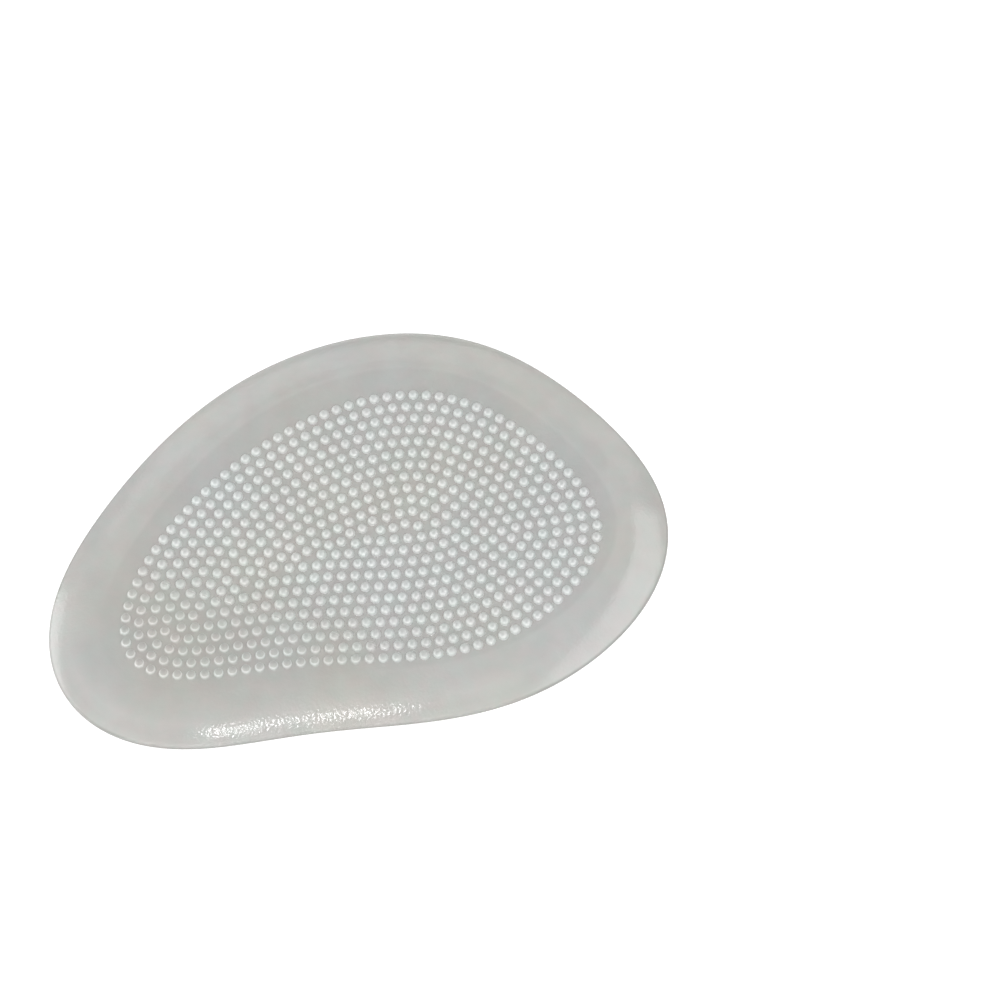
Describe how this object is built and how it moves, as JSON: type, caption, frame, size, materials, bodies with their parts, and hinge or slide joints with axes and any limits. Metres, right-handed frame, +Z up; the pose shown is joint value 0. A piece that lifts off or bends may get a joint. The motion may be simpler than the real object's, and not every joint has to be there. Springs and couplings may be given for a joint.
{
  "type": "metatarsal pad",
  "caption": "Soft gel pad for the ball of the foot, with a smooth swelling margin, a flat underside and a field of small round nubs on top.",
  "frame": {"origin": "on the flat underside, at the middle of the pad's bounding box", "axes": "+X along the pad's length towards its broad end, +Y towards its long convex side, +Z up through the nubs"},
  "size_m": [0.098, 0.069, 0.004],
  "materials": {
    "clear_gel": "glossy translucent"
  },
  "bodies": {
    "root": {"gel_pad": "clear_gel"}
  },
  "joints": []
}
